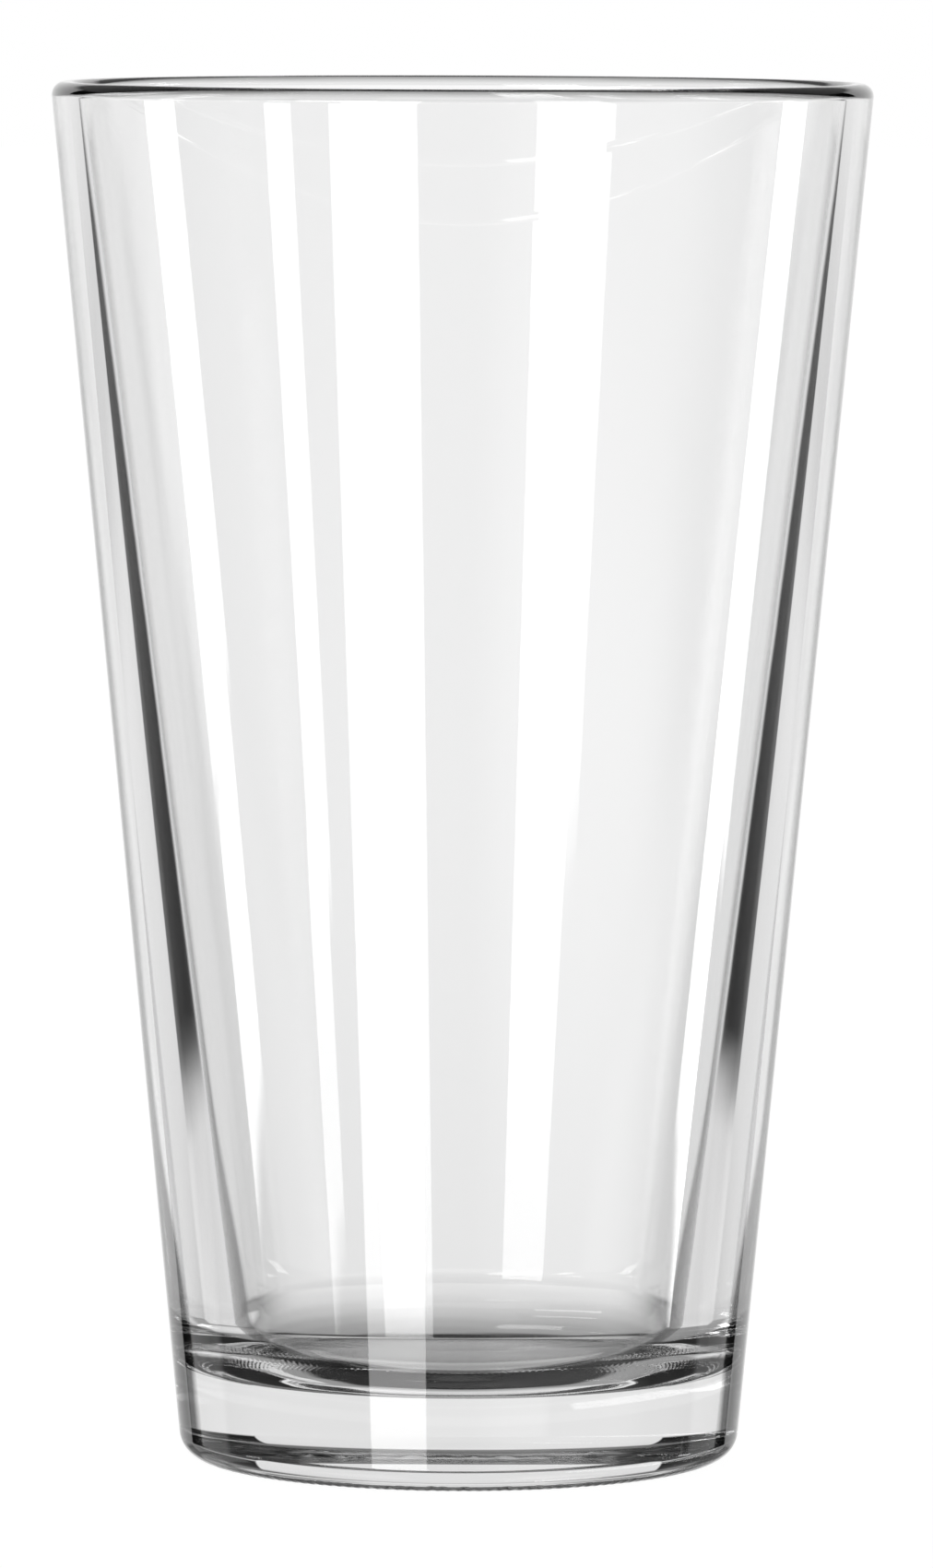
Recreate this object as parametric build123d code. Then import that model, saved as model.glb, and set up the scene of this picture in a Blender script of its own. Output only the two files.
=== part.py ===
"""A 16 oz bar mixing glass: one heavy tapered tumbler of clear soda-lime glass.

The whole object is a single piece of glass, pressed in one mould, so the model is one solid of
revolution about +Z. The origin is the centre of the base, on the surface that the glass stands on.
Lengths are millimetres.
"""

from build123d import *

from math import radians, sqrt, tan
import os

# Outside, as its straight wall would meet the base plane and the top plane if nothing were rounded
HEIGHT = 149.2  # 5 7/8 in
RIM_RADIUS = 44.45  # 3 1/2 in across the mouth
BASE_RADIUS = 30.15  # 2 3/8 in across the foot
HEEL_ROUND = 3.0  # between the wall and the underside

# Lip: the wall's thickness at the very top, and the fire-polished rounding of its two edges
LIP_WALL = 3.1
LIP_ROUND = 1.4

# Inside: the plunger's cone, a rounded corner and a dished floor
CAVITY_TAPER = 7.15  # degrees from the vertical
CORNER_ROUND = 8.0
FLOOR_HEIGHT = 9.0  # the floor's lowest point, on the axis
FLOOR_RISE = 1.2  # the dish's rise at the cavity's wall

# Underside: a flat bearing ring round a shallow domed push-up
RING_INNER_RADIUS = 24.0
PUSH_UP_HEIGHT = 1.2  # on the axis


def cavity_radius(height):
    """Radius of the plunger's cone at a height above the base."""
    return RIM_RADIUS - LIP_WALL - (HEIGHT - height) * tan(radians(CAVITY_TAPER))


def shallow_arc(radius, centre_height, edge_height):
    """A dish's or dome's arc, from the axis out to a radius, level on the axis."""
    rise = edge_height - centre_height
    sphere = (radius**2 + rise**2) / (2 * abs(rise))
    half_rise = sphere - sqrt(sphere**2 - (radius / 2) ** 2)
    middle = (radius / 2, centre_height + (half_rise if rise > 0 else -half_rise))
    return ThreePointArc((0, centre_height), middle, (radius, edge_height))


def glass_section():
    """Half of the glass's section, in the XZ plane, with its corners rounded."""
    edge_height = FLOOR_HEIGHT + FLOOR_RISE
    heel = (BASE_RADIUS, 0)
    outer_lip = (RIM_RADIUS, HEIGHT)
    inner_lip = (cavity_radius(HEIGHT), HEIGHT)
    corner = (cavity_radius(edge_height), edge_height)
    with BuildSketch(Plane.XZ) as section:
        with BuildLine():
            push_up = shallow_arc(RING_INNER_RADIUS, PUSH_UP_HEIGHT, 0)
            Polyline((RING_INNER_RADIUS, 0), heel, outer_lip, inner_lip, corner)
            floor = shallow_arc(corner[0], FLOOR_HEIGHT, edge_height)
            Line(floor @ 0, push_up @ 0)
        make_face()

        def round_off(point, radius):
            """Rounds the section's corner at a point (radius, height)."""
            fillet(section.vertices().sort_by_distance(point)[0], radius)

        round_off(heel, HEEL_ROUND)
        round_off(outer_lip, LIP_ROUND)
        round_off(inner_lip, LIP_ROUND)
        round_off(corner, CORNER_ROUND)
    return section.sketch


glass_body = revolve(glass_section(), axis=Axis.Z)
os.makedirs("parts", exist_ok=True)
export_step(glass_body, "parts/glass_body.step")
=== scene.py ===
from math import atan2, cos, hypot, pi, radians, sin, sqrt, tan

import bpy
from mathutils import Matrix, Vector
import numpy as np


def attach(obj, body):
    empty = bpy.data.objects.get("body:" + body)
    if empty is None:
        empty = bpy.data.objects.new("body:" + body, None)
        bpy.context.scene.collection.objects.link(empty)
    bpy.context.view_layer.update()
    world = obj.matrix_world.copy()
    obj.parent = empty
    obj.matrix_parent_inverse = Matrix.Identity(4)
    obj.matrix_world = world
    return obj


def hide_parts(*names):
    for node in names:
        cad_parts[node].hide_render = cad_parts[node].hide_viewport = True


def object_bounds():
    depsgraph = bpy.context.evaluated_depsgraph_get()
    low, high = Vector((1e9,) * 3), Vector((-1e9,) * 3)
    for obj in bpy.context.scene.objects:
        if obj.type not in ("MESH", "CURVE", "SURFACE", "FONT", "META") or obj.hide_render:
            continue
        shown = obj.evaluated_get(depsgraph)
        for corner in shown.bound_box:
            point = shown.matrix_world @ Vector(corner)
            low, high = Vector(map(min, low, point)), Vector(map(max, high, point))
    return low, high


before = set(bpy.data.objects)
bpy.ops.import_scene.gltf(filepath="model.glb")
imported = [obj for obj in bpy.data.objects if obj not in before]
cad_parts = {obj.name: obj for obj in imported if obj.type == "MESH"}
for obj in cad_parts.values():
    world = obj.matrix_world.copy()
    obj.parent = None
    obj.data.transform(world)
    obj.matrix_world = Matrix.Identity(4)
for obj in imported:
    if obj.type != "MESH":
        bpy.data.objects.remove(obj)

cad_low, cad_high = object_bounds()

MM = 0.001

# The glass's own dimensions, as the CAD model has them
HEIGHT = cad_high.z
RIM_RADIUS = 44.45 * MM
BASE_RADIUS = 30.15 * MM
HEEL_ROUND = 3.0 * MM
LIP_WALL = 3.1 * MM
LIP_ROUND = 1.4 * MM
CAVITY_TAPER = radians(7.15)
CORNER_ROUND = 8.0 * MM
FLOOR_HEIGHT = 9.0 * MM
FLOOR_RISE = 1.2 * MM
RING_INNER_RADIUS = 24.0 * MM
PUSH_UP_HEIGHT = 1.2 * MM

SEGMENTS = 640  # round the axis


# ---------------------------------------------------------------- the glass's half section

class Run:
    """A straight run of the section, from one (radius, height) point to another."""

    def __init__(self, start, end, rows, finish="smooth"):
        self.start, self.end = np.array(start), np.array(end)
        self.rows, self.finish = rows, finish

    def sample(self):
        step = np.linspace(0, 1, self.rows, endpoint=False)[:, None]
        points = self.start + step * (self.end - self.start)
        along = (self.end - self.start) / np.linalg.norm(self.end - self.start)
        return points, np.tile((along[1], -along[0]), (self.rows, 1))


class Arc:
    """A round stretch, about a centre; side is 1 where the glass is inside the circle and -1 outside."""

    def __init__(self, centre, start, end, side, rows, finish="smooth"):
        self.centre, self.side = np.array(centre), side
        self.rows, self.finish = rows, finish
        self.radius = hypot(*(np.array(start) - self.centre))
        angles = [atan2(p[1] - centre[1], p[0] - centre[0]) for p in (start, end)]
        self.first = angles[0]
        self.turn = (angles[1] - angles[0] + pi) % (2 * pi) - pi
        self.start, self.end = np.array(start), np.array(end)

    def sample(self):
        angle = self.first + self.turn * np.linspace(0, 1, self.rows, endpoint=False)
        out = np.stack((np.cos(angle), np.sin(angle)), axis=1)
        return self.centre + self.radius * out, out * self.side


def corner_arc(before, corner, after, radius, side, rows, finish="smooth"):
    """The arc that rounds the corner between two straight runs."""
    corner = np.array(corner)
    to_before = np.array(before) - corner
    to_after = np.array(after) - corner
    to_before /= np.linalg.norm(to_before)
    to_after /= np.linalg.norm(to_after)
    half = np.arccos(np.dot(to_before, to_after)) / 2
    middle = to_before + to_after
    centre = corner + middle / np.linalg.norm(middle) * radius / sin(half)
    reach = radius / tan(half)
    return Arc(centre, corner + reach * to_before, corner + reach * to_after, side, rows, finish)


def dish_radius(radius, rise):
    """The radius of the sphere that rises by this much out to a radius."""
    return (radius**2 + rise**2) / (2 * rise)


def cavity_radius(height):
    return RIM_RADIUS - LIP_WALL - (HEIGHT - height) * tan(CAVITY_TAPER)


def half_section():
    """The section's outline, from the underside's centre round to the cavity floor's centre."""
    # The underside: a shallow domed push-up and the bearing ring
    dome = dish_radius(RING_INNER_RADIUS, PUSH_UP_HEIGHT)
    ring_edge = (RING_INNER_RADIUS, 0)
    push_up = Arc((0, PUSH_UP_HEIGHT - dome), (0, PUSH_UP_HEIGHT), ring_edge, -1, 12)
    heel, lip = (BASE_RADIUS, 0), (RIM_RADIUS, HEIGHT)
    # The outside and the lip
    inner_lip = (cavity_radius(HEIGHT), HEIGHT)
    heel_arc = corner_arc(ring_edge, heel, lip, HEEL_ROUND, 1, 24, "knurled")
    outer_lip_arc = corner_arc(heel, lip, inner_lip, LIP_ROUND, 1, 10)
    cone_foot = (cavity_radius(0), 0)
    inner_lip_arc = corner_arc(lip, inner_lip, cone_foot, LIP_ROUND, 1, 10)
    # The cavity: its cone, a rounded corner and a dished floor. The corner's arc touches both the cone and
    # the dish, so its centre is one corner round in from the cone, and that much nearer the dish's centre.
    edge_z = FLOOR_HEIGHT + FLOOR_RISE
    dish = dish_radius(cavity_radius(edge_z), FLOOR_RISE)
    dish_centre = np.array((0, FLOOR_HEIGHT + dish))
    up = np.array((sin(CAVITY_TAPER), cos(CAVITY_TAPER)))
    inward = np.array((-cos(CAVITY_TAPER), sin(CAVITY_TAPER)))
    start = np.array((cavity_radius(edge_z), edge_z)) + CORNER_ROUND * inward - dish_centre
    half_chord_start = np.dot(start, up)
    excess = np.dot(start, start) - (dish - CORNER_ROUND) ** 2
    half_chord = sqrt(half_chord_start**2 - excess)
    along = -half_chord_start - half_chord
    if along < 0:
        along = -half_chord_start + half_chord
    centre = start + along * up + dish_centre
    on_wall = centre - CORNER_ROUND * inward
    out = centre - dish_centre
    on_floor = dish_centre + out / np.linalg.norm(out) * dish
    corner = Arc(centre, on_wall, on_floor, -1, 32, "rippled")
    floor = Arc(dish_centre, on_floor, (0, FLOOR_HEIGHT), -1, 14)
    return [
        push_up,
        Run(ring_edge, heel_arc.start, 20, "stippled"),
        heel_arc,
        Run(heel_arc.end, outer_lip_arc.start, 14, "outer wall"),
        outer_lip_arc,
        Run(outer_lip_arc.end, inner_lip_arc.start, 1),
        inner_lip_arc,
        Run(inner_lip_arc.end, corner.start, 14, "inner wall"),
        corner,
        floor,
    ]


# ---------------------------------------------------------------- moulded relief, cut into the glass

STIPPLE_RINGS = 4
STIPPLES_ROUND = 160
STIPPLE_DEPTH = 0.10 * MM
KNURL_DEPTH = 0.07 * MM
WALL_WAVE = 0.008 * MM
RIPPLE_DEPTH = 0.009 * MM
RIPPLE_PITCH = 1.5 * MM


def smooth_step(value):
    value = np.clip(value, 0, 1)
    return value * value * (3 - 2 * value)


def wave_round(angle, lobes, seed):
    """Irregular upright waves round the glass: a few cosines with seeded phases."""
    random = np.random.default_rng(seed)
    phases = random.uniform(0, 2 * pi, len(lobes))
    return sum(np.cos(lobe * angle + phase) for lobe, phase in zip(lobes, phases)) / len(lobes)


def relief_of(finish, along, angle):
    """Depth of a stretch's relief; along runs from 0 to 1 over the stretch, and angle goes round the axis."""
    along, angle = along[:, None], angle[None, :]
    ends = smooth_step(along * 8) * smooth_step((1 - along) * 8)
    if finish == "stippled":
        row = along * STIPPLE_RINGS
        turn = angle / (2 * pi) * STIPPLES_ROUND + 0.5 * (np.floor(row) % 2)
        random = np.random.default_rng(5)
        size = 0.3 + 0.7 * random.random((STIPPLE_RINGS + 1, STIPPLES_ROUND))
        height = size[np.floor(row).astype(int), np.floor(turn).astype(int) % STIPPLES_ROUND]
        return STIPPLE_DEPTH * height * (np.sin(pi * row) * np.sin(pi * turn)) ** 2
    if finish == "knurled":
        turn = angle / (2 * pi) * STIPPLES_ROUND
        random = np.random.default_rng(6)
        size = 0.4 + 0.6 * random.random(STIPPLES_ROUND)
        length = 0.40 + 0.12 * random.random(STIPPLES_ROUND)
        lobe = np.floor(turn).astype(int) % STIPPLES_ROUND
        fade = smooth_step(along * 12) * smooth_step((length[lobe] - along) * 8)
        return KNURL_DEPTH * size[lobe] * fade * np.sin(pi * turn) ** 2
    if finish == "inner wall":
        drift = 0.6 + 0.4 * np.cos(2.3 * along + 2 * wave_round(angle, (2, 3), 3))
        return WALL_WAVE * ends * drift * wave_round(angle + 0.02 * along, (9, 14, 23, 31), 7)
    if finish == "outer wall":
        return 0.4 * WALL_WAVE * ends * (1 + wave_round(angle, (7, 12, 19), 11))
    if finish == "rippled":
        turns = along * CORNER_ROUND * radians(83) / RIPPLE_PITCH
        uneven = 0.6 + 0.4 * wave_round(angle, (3, 5, 8), 13)
        return RIPPLE_DEPTH * ends * uneven * np.cos(2 * pi * turns + 1.5 * wave_round(angle, (4, 7), 17))
    return np.zeros((len(along), angle.shape[1]))


# ---------------------------------------------------------------- the glass's mesh

def lathe(name, pieces):
    """Turns the section about the axis, cuts its relief and gives every corner its exact normal."""
    samples = [piece.sample() for piece in pieces]
    points = np.concatenate([p for p, _ in samples])
    normals = np.concatenate([n for _, n in samples])
    tangents = np.stack((-normals[:, 1], normals[:, 0]), axis=1)
    length = np.concatenate(([0], np.cumsum(np.linalg.norm(np.diff(points, axis=0), axis=1))))
    angle = np.linspace(0, 2 * pi, SEGMENTS, endpoint=False)
    parts = [relief_of(piece.finish, np.arange(piece.rows) / piece.rows, angle) for piece in pieces]
    depth = np.concatenate(parts)
    slope_along = np.gradient(depth, length, axis=0)[..., None]
    radius = np.maximum(points[:, :1], MM)
    change = np.roll(depth, -1, axis=1) - np.roll(depth, 1, axis=1)
    slope_round = (change / (4 * pi / SEGMENTS) / radius)[..., None]
    outward = np.stack((np.cos(angle), np.sin(angle), np.zeros(SEGMENTS)), axis=1)
    sideways = np.stack((-np.sin(angle), np.cos(angle), np.zeros(SEGMENTS)), axis=1)
    up = np.array((0.0, 0.0, 1.0))

    def spin(flat):
        """Each (radius, height) row turned round the axis."""
        return flat[:, None, 0, None] * outward + flat[:, None, 1, None] * up

    places = spin(points) - depth[..., None] * spin(normals)
    facing = spin(normals) + slope_along * spin(tangents) + slope_round * sideways
    facing /= np.linalg.norm(facing, axis=2)[..., None]
    places = np.concatenate(([places[0, 0]], places[1:].reshape(-1, 3), [[0, 0, FLOOR_HEIGHT]]))
    facing = np.concatenate(([[0, 0, -1]], facing[1:].reshape(-1, 3), [[0, 0, 1]]))
    faces = []
    rows = len(points) - 1
    last = 1 + rows * SEGMENTS
    for j in range(SEGMENTS):
        k = (j + 1) % SEGMENTS
        faces.append((0, 1 + k, 1 + j))
        for i in range(rows - 1):
            ring, following = 1 + i * SEGMENTS, 1 + (i + 1) * SEGMENTS
            faces.append((ring + j, ring + k, following + k, following + j))
        ring = 1 + (rows - 1) * SEGMENTS
        faces.append((ring + j, ring + k, last))
    mesh = bpy.data.meshes.new(name)
    mesh.from_pydata(places.tolist(), [], faces)
    mesh.shade_smooth()
    mesh.normals_split_custom_set_from_vertices(facing.tolist())
    piece = bpy.data.objects.new(name, mesh)
    bpy.context.scene.collection.objects.link(piece)
    return piece


# ---------------------------------------------------------------- node helpers

class Nodes:
    """Short calls for a node tree's nodes; each returns an output socket."""

    def __init__(self, tree):
        self.tree = tree

    def add(self, kind, inputs=(), output=0, **settings):
        node = self.tree.nodes.new(kind)
        for name, value in settings.items():
            setattr(node, name, value)
        for key, value in dict(inputs).items():
            if isinstance(value, bpy.types.NodeSocket):
                self.tree.links.new(value, node.inputs[key])
            else:
                node.inputs[key].default_value = value
        return None if output is None else node.outputs[output]

    def link(self, output, socket):
        self.tree.links.new(output, socket)

    def math(self, operation, *values):
        return self.add("ShaderNodeMath", enumerate(values), operation=operation)

    def product(self, first, *others):
        for other in others:
            first = self.math("MULTIPLY", first, other)
        return first

    def ramp(self, value, start, stop, low=0.0, high=1.0):
        """A smooth step from low, where the value is under start, to high, where it is over stop."""
        inputs = {"Value": value, "From Min": start, "From Max": stop, "To Min": low, "To Max": high}
        return self.add("ShaderNodeMapRange", inputs, interpolation_type="SMOOTHSTEP")

    def grey(self, value):
        return self.add("ShaderNodeCombineColor", {"Red": value, "Green": value, "Blue": value})

    def bearing(self, vector):
        """Degrees round the vertical from the front (-Y), positive towards +X."""
        parts = self.add("ShaderNodeSeparateXYZ", {0: vector}).node.outputs
        turn = self.math("ARCTAN2", parts["X"], self.math("MULTIPLY", parts["Y"], -1.0))
        return self.math("DEGREES", turn)

    def away_from(self, bearing, centre):
        """Degrees between a bearing and a fixed one, from 0 to 180."""
        return self.math("ABSOLUTE", self.math("WRAP", self.math("SUBTRACT", bearing, centre), 180.0, -180.0))


# ---------------------------------------------------------------- the glass

ABSORPTION = 3.2  # per metre


def glass_material():
    """Clear soda-lime glass: fire-polished, with faint handling marks, a scuffed bearing ring and a painted
    dark outline.
    """
    material = bpy.data.materials.new("clear_glass")
    material.use_nodes = True
    nodes = Nodes(material.node_tree)
    shader = material.node_tree.nodes["Principled BSDF"]
    shader.inputs["IOR"].default_value = 1.52
    shader.inputs["Transmission Weight"].default_value = 1
    place = nodes.add("ShaderNodeTexCoord", output="Object")

    # A fine grey outline of painted shade: the base colour darkens towards the silhouette as the surface
    # turns from view, wide and dark at the solid base, narrow on the walls, and none on the lip
    height = nodes.add("ShaderNodeSeparateXYZ", {0: place}, output="Z")
    facing = nodes.add("ShaderNodeLayerWeight", {"Blend": 0.5}, output="Facing")
    start = nodes.ramp(height, 14 * MM, 42 * MM, 0.61, 0.765)
    stop = nodes.math("ADD", start, nodes.ramp(height, 50 * MM, 90 * MM, 0.06, 0.13))
    darkest_painted_shade = nodes.ramp(height, 18 * MM, 60 * MM, 0.08, 0.24)
    painted_edge_shade = nodes.ramp(facing, start, stop, 1.0, darkest_painted_shade)
    painted_edge_shade = nodes.math("MAXIMUM", painted_edge_shade, nodes.ramp(height, 140 * MM, 146 * MM))

    # Handling marks: broad, very faint hazes, and scuffs on the stippled ring
    haze = nodes.add("ShaderNodeTexNoise", {"Vector": place, "Scale": 120.0, "Detail": 4.0})
    roughness = nodes.ramp(haze, 0.45, 0.75, 0.0, 0.012)
    foot = nodes.ramp(height, 0.15 * MM, 0.6 * MM, 1.0, 0.0)
    scuff = nodes.add("ShaderNodeTexNoise", {"Vector": place, "Scale": 1500.0, "Detail": 3.0})
    scuff = nodes.product(foot, nodes.ramp(scuff, 0.4, 0.7, 0.02, 0.2))
    nodes.link(nodes.math("ADD", roughness, scuff), shader.inputs["Roughness"])
    # The base colour carries the painted edge shade; the glass itself has no such tint
    nodes.link(nodes.grey(painted_edge_shade), shader.inputs["Base Color"])

    # The glass's own grey, which shows where light goes a long way through the base
    body = nodes.add("ShaderNodeVolumeAbsorption", {"Color": (0, 0, 0, 1), "Density": ABSORPTION})
    nodes.link(body, material.node_tree.nodes["Material Output"].inputs["Volume"])

    # The very slight unevenness that moulding leaves in the surface
    skin = nodes.add("ShaderNodeTexNoise", {"Vector": place, "Scale": 90.0, "Detail": 1.0})
    bump = nodes.add("ShaderNodeBump", {"Height": skin, "Strength": 1.0, "Distance": 0.004 * MM})
    nodes.link(bump, shader.inputs["Normal"])
    return material


glass = lathe("mixing_glass", half_section())
glass.data.materials.append(glass_material())
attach(glass, "root")
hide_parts("glass_body")

# ---------------------------------------------------------------- camera

camera = bpy.data.objects.new("camera", bpy.data.cameras.new("camera"))
bpy.context.scene.collection.objects.link(camera)
bpy.context.scene.camera = camera
camera.data.lens = 252.5
camera.data.sensor_width = 36
CAMERA_DISTANCE = 1188 * MM
CAMERA_HEIGHT = 170.3 * MM
camera.matrix_world = (
    Matrix.Translation((0, -CAMERA_DISTANCE, CAMERA_HEIGHT))
    @ Matrix.Rotation(radians(-0.031), 4, "Z")
    @ Matrix.Rotation(radians(90 - 4.669), 4, "X")
    @ Matrix.Rotation(radians(0.18), 4, "Z")
)

# ---------------------------------------------------------------- studio: what surrounds the glass

# Directions are a bearing, in degrees round the vertical from the front (-Y) and positive towards +X, and
# an elevation in degrees. Each panel: bearing of its centre, half width, lower and upper elevation, the
# softness of its side and of its upper and lower edges, and its brightness, where 1 is paper white. A panel
# cut on a slant has one more value: the lean of its sides, in degrees of bearing for each degree of
# elevation above LEVEL.
LEVEL = -12.0
BACKDROP_TOP = (180, 35.4, -3, 19, 0.4, 3, 0.95)
BACKDROP_FOOT = (180, 35.4, -15, -1, 0.4, 3, 0.86)
BACKDROP_CENTRE = (180, 18, -16, 0, 7, 2, 1.02)
HORIZON_BAND = (180, 66, -5, 5, 3, 1.5, 0.97)
LOWER_SIDES = (0, 181, -44, -14, 1, 3, 0.10)
UPPER_BACK = (180, 55, 19, 42, 8, 3, 0.22)
UPPER_SIDES = (0, 181, 16, 58, 1, 3, 0.02)
LOW_LEFT = (-130, 19, -21, -12.5, 3, 1, 0.95)
LOW_RIGHT = (130, 19, -21, -12.5, 3, 1, 0.95)
LEFT_WALL = (-90, 28, -7.2, -1.5, 3, 0.7, 0.95)
RIGHT_WALL = (90, 28, -7.2, -1.5, 3, 0.7, 0.95)
FRONT_WALL = (0, 28, -9, -1.5, 3, 1, 1.0)
LEFT_PAPER = (-135, 28, -33, -22, 4, 2, 1.0)
RIGHT_PAPER = (45, 34, -22, -12.5, 14, 2, 1.0)
FRONT_FILL = (0, 100, -20, -8, 6, 3, 0.2)
SIDE_GLOW_LEFT = (-127.6, 7.5, -17, -7, 2.5, 1.0, 0.95, -2.65)
SIDE_GLOW_RIGHT = (127.6, 7.5, -17, -7, 2.5, 1.0, 0.95, 2.65)
SIDE_DIM = (180, 94, -17, -5, 4, 1.0, 0.12)
OVERHEAD = (0, 181, 66, 91, 1, 2.5, 0.8)
PANELS = (
    BACKDROP_TOP, BACKDROP_FOOT, BACKDROP_CENTRE, HORIZON_BAND, LOWER_SIDES, UPPER_BACK, UPPER_SIDES,
    LOW_LEFT, LOW_RIGHT, LEFT_WALL, RIGHT_WALL, FRONT_WALL, LEFT_PAPER, RIGHT_PAPER, FRONT_FILL,
    SIDE_GLOW_LEFT, SIDE_GLOW_RIGHT, SIDE_DIM, OVERHEAD,
)
PANEL_FOOT_DIMMING = 0.82  # the panels' lowest parts against their tops
# Black cards either side of the backdrop, which draw the glass's dark stripes. A card is cut on a slant, so
# its near side and its foot both lean: CARD_NEAR_SIDE is where the one lies at LEVEL, and CARD_FOOT where
# the other lies at CARD_FAR_SIDE.
CARD_FAR_SIDE = 145.0
CARD_NEAR_SIDE = 134.3
CARD_LEAN = 2.65
CARD_FOOT = -12.95
CARD_FOOT_LEAN = 0.1
CARD_TOP = -5.0
# Softboxes, which draw the upright highlights. Each thin highlight takes two: its upper part is the outer
# wall's reflection of one box, and its lower part is the inner wall's reflection of another.
WIDE_BOX = (-26.2, 11.6, -24, -9.5, 0.3, 0.5, 5.0, -0.2)
FAR_WALL_BOX = (-35.6, 11.7, 1.5, 15, 0.3, 0.5, 5.0, 0.0)
SECOND_LEFT_OUTER = (-52.3, 3.9, -15.3, -9.5, 0.3, 0.3, 5.0, -1.0)
SECOND_LEFT_INNER = (-56.9, 4.0, -21.6, -19.3, 0.3, 0.3, 5.0, 0.0)
FIRST_LEFT_OUTER = (-86.9, 5.2, -12.3, -7.2, 0.3, 0.3, 5.0, -2.17)
FIRST_LEFT_INNER = (-101.0, 4.9, -18.2, -16.0, 0.3, 0.3, 5.0, -1.0)
RIGHT_OUTER = (98.3, 4.8, -11.9, -6.6, 0.3, 0.3, 5.0, 2.0)
RIGHT_INNER = (113.1, 4.6, -17.3, -14.8, 0.3, 0.3, 5.0, 1.0)
SOFTBOXES = (
    WIDE_BOX, FAR_WALL_BOX, SECOND_LEFT_OUTER, SECOND_LEFT_INNER,
    FIRST_LEFT_OUTER, FIRST_LEFT_INNER, RIGHT_OUTER, RIGHT_INNER,
)
# The table, in directions that look down on it
TABLE_IN_FRONT = 0.84
TABLE_BEHIND = 0.33
TABLE_IN_SHADE = 0.05
ROOM_DARK = 0.008


def leaning(nodes, bearing, elevation, lean):
    """A bearing with a slanted edge's lean taken out, so that the edge is upright in it."""
    return nodes.math("SUBTRACT", bearing, nodes.product(nodes.math("SUBTRACT", elevation, LEVEL), lean))


def panel(nodes, bearing, elevation, spec):
    """A panel's light in each direction."""
    centre, half_width, low, high, side_soft, end_soft, brightness = spec[:7]
    if len(spec) > 7:
        bearing = leaning(nodes, bearing, elevation, spec[7])
    away = nodes.away_from(bearing, centre)
    return nodes.product(
        nodes.ramp(away, half_width - side_soft, half_width + side_soft, brightness, 0.0),
        nodes.ramp(elevation, low - end_soft, low + end_soft),
        nodes.ramp(elevation, high - end_soft, high + end_soft, 1.0, 0.0),
    )


def beside_cards(nodes, bearing, elevation):
    """1 where a direction passes both black cards, and 0 where it meets one."""
    away = nodes.math("ABSOLUTE", bearing)
    from_near_side = nodes.math("SUBTRACT", leaning(nodes, away, elevation, CARD_LEAN), CARD_NEAR_SIDE)
    drop = nodes.product(nodes.math("SUBTRACT", away, CARD_FAR_SIDE), CARD_FOOT_LEAN)
    from_foot = nodes.math("SUBTRACT", nodes.math("SUBTRACT", elevation, CARD_FOOT), drop)
    card = nodes.product(
        nodes.ramp(from_near_side, -0.9, 0.9),
        nodes.ramp(from_foot, -0.3, 0.3),
        nodes.ramp(away, CARD_FAR_SIDE - 0.4, CARD_FAR_SIDE + 0.4, 1.0, 0.0),
        nodes.ramp(elevation, CARD_TOP - 1.0, CARD_TOP + 1.0, 1.0, 0.0),
    )
    return nodes.math("SUBTRACT", 1.0, card)


def sweep_light(nodes, bearing, elevation):
    """The backdrop's curve down on to the table, straight behind the glass, darker the lower it is."""
    return nodes.product(
        nodes.ramp(nodes.away_from(bearing, 180.0), 8.0, 26.0, 1.0, 0.0),
        nodes.ramp(elevation, -14.0, -12.0, 1.0, 0.0),
        nodes.ramp(elevation, -42.0, -10.0, 0.38, 0.95),
        nodes.ramp(elevation, -49.0, -44.0, 0.05, 1.0),
    )


def table_light(nodes, bearing, elevation):
    """The table, as the glass sees it below: bright in front, dark under the base and grey behind."""
    away = nodes.math("ABSOLUTE", bearing)
    near_edge = nodes.math("MULTIPLY_ADD", nodes.product(away, away), 0.004, -73.0)
    front = nodes.product(
        nodes.ramp(nodes.math("SUBTRACT", elevation, near_edge), -1.5, 1.5, 0.0, TABLE_IN_FRONT),
        nodes.ramp(elevation, -49.0, -43.0, 1.0, 0.0),
        nodes.ramp(away, 80.0, 92.0, 1.0, 0.0),
        nodes.ramp(away, 26.0, 42.0, 0.3, 1.0),
    )
    behind = nodes.product(
        nodes.ramp(elevation, -47.0, -40.0, 0.015, TABLE_BEHIND),
        nodes.ramp(away, 78.0, 125.0),
        nodes.ramp(away, 160.0, 174.0, 1.0, 0.6),
        nodes.ramp(elevation, -18.0, -12.0, 1.0, 0.0),
    )
    below = nodes.ramp(elevation, -88.0, -76.0, TABLE_IN_SHADE, 0.0)
    return nodes.math("MAXIMUM", nodes.math("MAXIMUM", front, behind), below)


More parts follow.
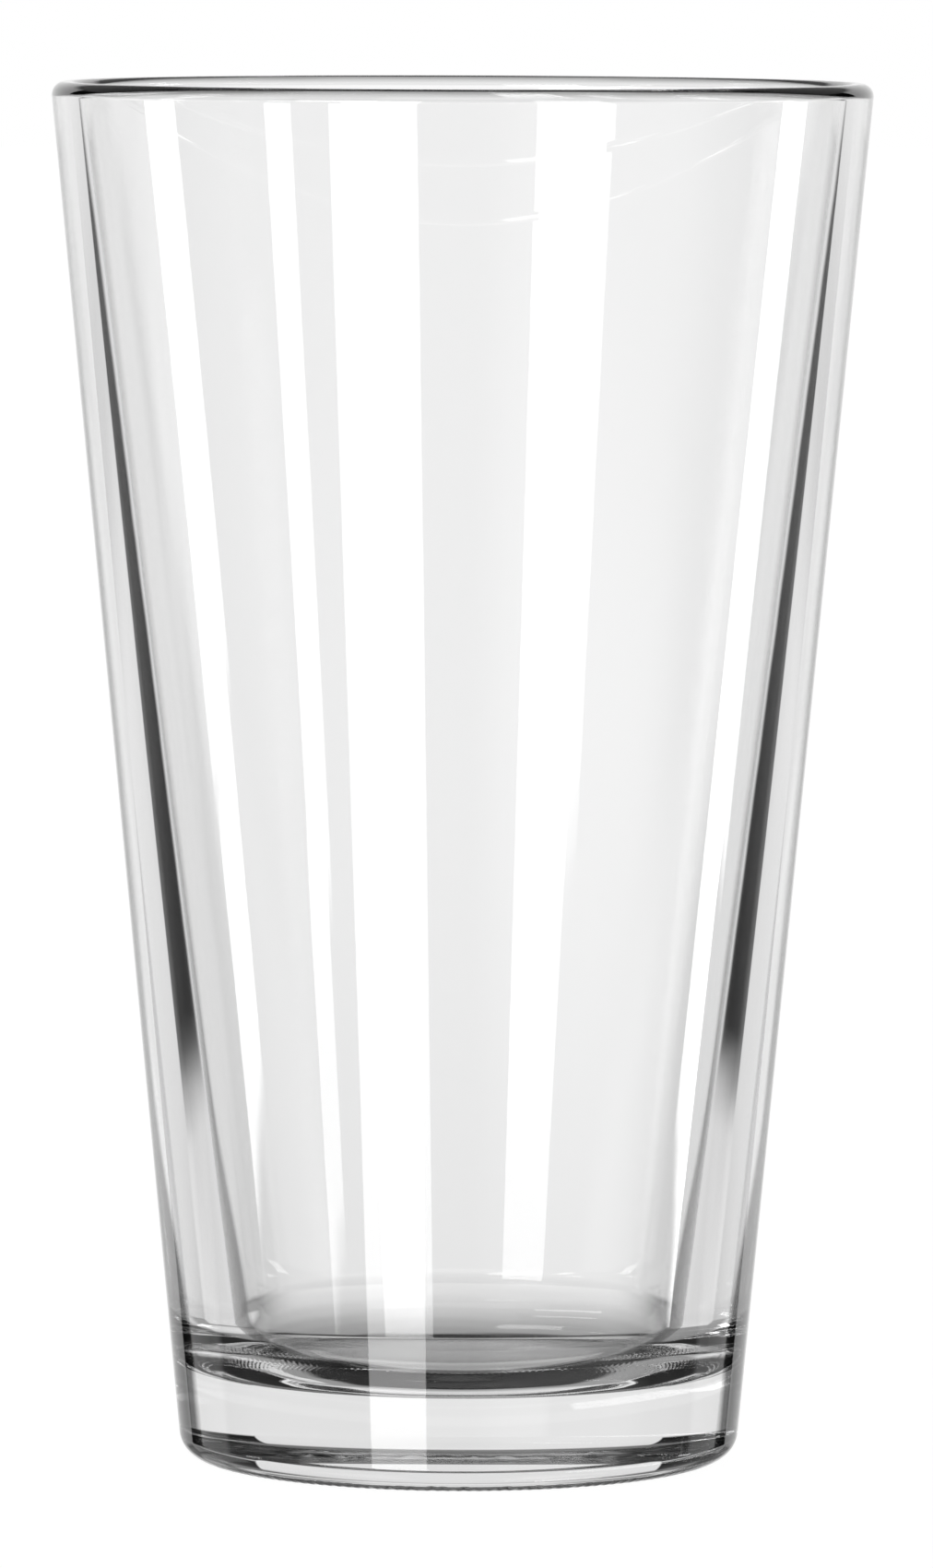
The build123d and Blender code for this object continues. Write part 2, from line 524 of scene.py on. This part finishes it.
def make_studio():
    """The surroundings that the glass bends and reflects; the camera itself sees plain white."""
    world = bpy.data.worlds.new("studio")
    bpy.context.scene.world = world
    world.use_nodes = True
    world.node_tree.nodes.clear()
    nodes = Nodes(world.node_tree)
    direction = nodes.add("ShaderNodeTexCoord", output="Generated")
    bearing = nodes.bearing(direction)
    height = nodes.add("ShaderNodeSeparateXYZ", {0: direction}, output="Z")
    elevation = nodes.math("DEGREES", nodes.math("ARCSINE", height))
    light = panel(nodes, bearing, elevation, PANELS[0])
    for spec in PANELS[1:]:
        light = nodes.math("MAXIMUM", light, panel(nodes, bearing, elevation, spec))
    light = nodes.product(light, nodes.ramp(elevation, -13.5, -6.0, PANEL_FOOT_DIMMING, 1.0))
    light = nodes.math("MAXIMUM", light, sweep_light(nodes, bearing, elevation))
    light = nodes.math("MAXIMUM", light, table_light(nodes, bearing, elevation))
    light = nodes.product(light, beside_cards(nodes, bearing, elevation))
    for spec in SOFTBOXES:
        light = nodes.math("ADD", light, panel(nodes, bearing, elevation, spec))
    light = nodes.math("ADD", light, ROOM_DARK)
    camera_ray = nodes.add("ShaderNodeLightPath", output="Is Camera Ray")
    room = nodes.add("ShaderNodeBackground", {"Color": (1, 1, 1, 1), "Strength": light})
    paper = nodes.add("ShaderNodeBackground", {"Color": (1, 1, 1, 1), "Strength": 1.0})
    seen = nodes.add("ShaderNodeMixShader", {0: camera_ray, 1: room, 2: paper})
    nodes.add("ShaderNodeOutputWorld", {"Surface": seen}, output=None)


make_studio()

# ---------------------------------------------------------------- floor

FLOOR_RADIUS = 6.0
GAP = 0.05 * MM


def disc(name, radius, height, sides=96):
    angle = np.linspace(0, 2 * pi, sides, endpoint=False)
    rim = np.stack((radius * np.cos(angle), radius * np.sin(angle), np.full(sides, height)), axis=1)
    mesh = bpy.data.meshes.new(name)
    mesh.from_pydata(rim.tolist(), [], [tuple(range(sides))])
    piece = bpy.data.objects.new(name, mesh)
    bpy.context.scene.collection.objects.link(piece)
    return piece


def floor_material():
    """A pale floor that glows almost as white as the backdrop, so that no edge shows between them."""
    material = bpy.data.materials.new("pale_floor")
    material.use_nodes = True
    shader = material.node_tree.nodes["Principled BSDF"]
    shader.inputs["Base Color"].default_value = (0.15, 0.15, 0.15, 1)
    shader.inputs["Roughness"].default_value = 0.9
    shader.inputs["Specular IOR Level"].default_value = 0
    shader.inputs["Emission Color"].default_value = (1, 1, 1, 1)
    shader.inputs["Emission Strength"].default_value = 0.985
    return material


floor = disc("floor", FLOOR_RADIUS, -2 * GAP)
floor.data.materials.append(floor_material())
floor.visible_glossy = False
floor.visible_transmission = False
floor.visible_diffuse = False

bpy.context.scene.view_settings.view_transform = "Standard"
bpy.context.scene.cycles.max_bounces = 32
bpy.context.scene.cycles.glossy_bounces = 32
bpy.context.scene.cycles.transmission_bounces = 32
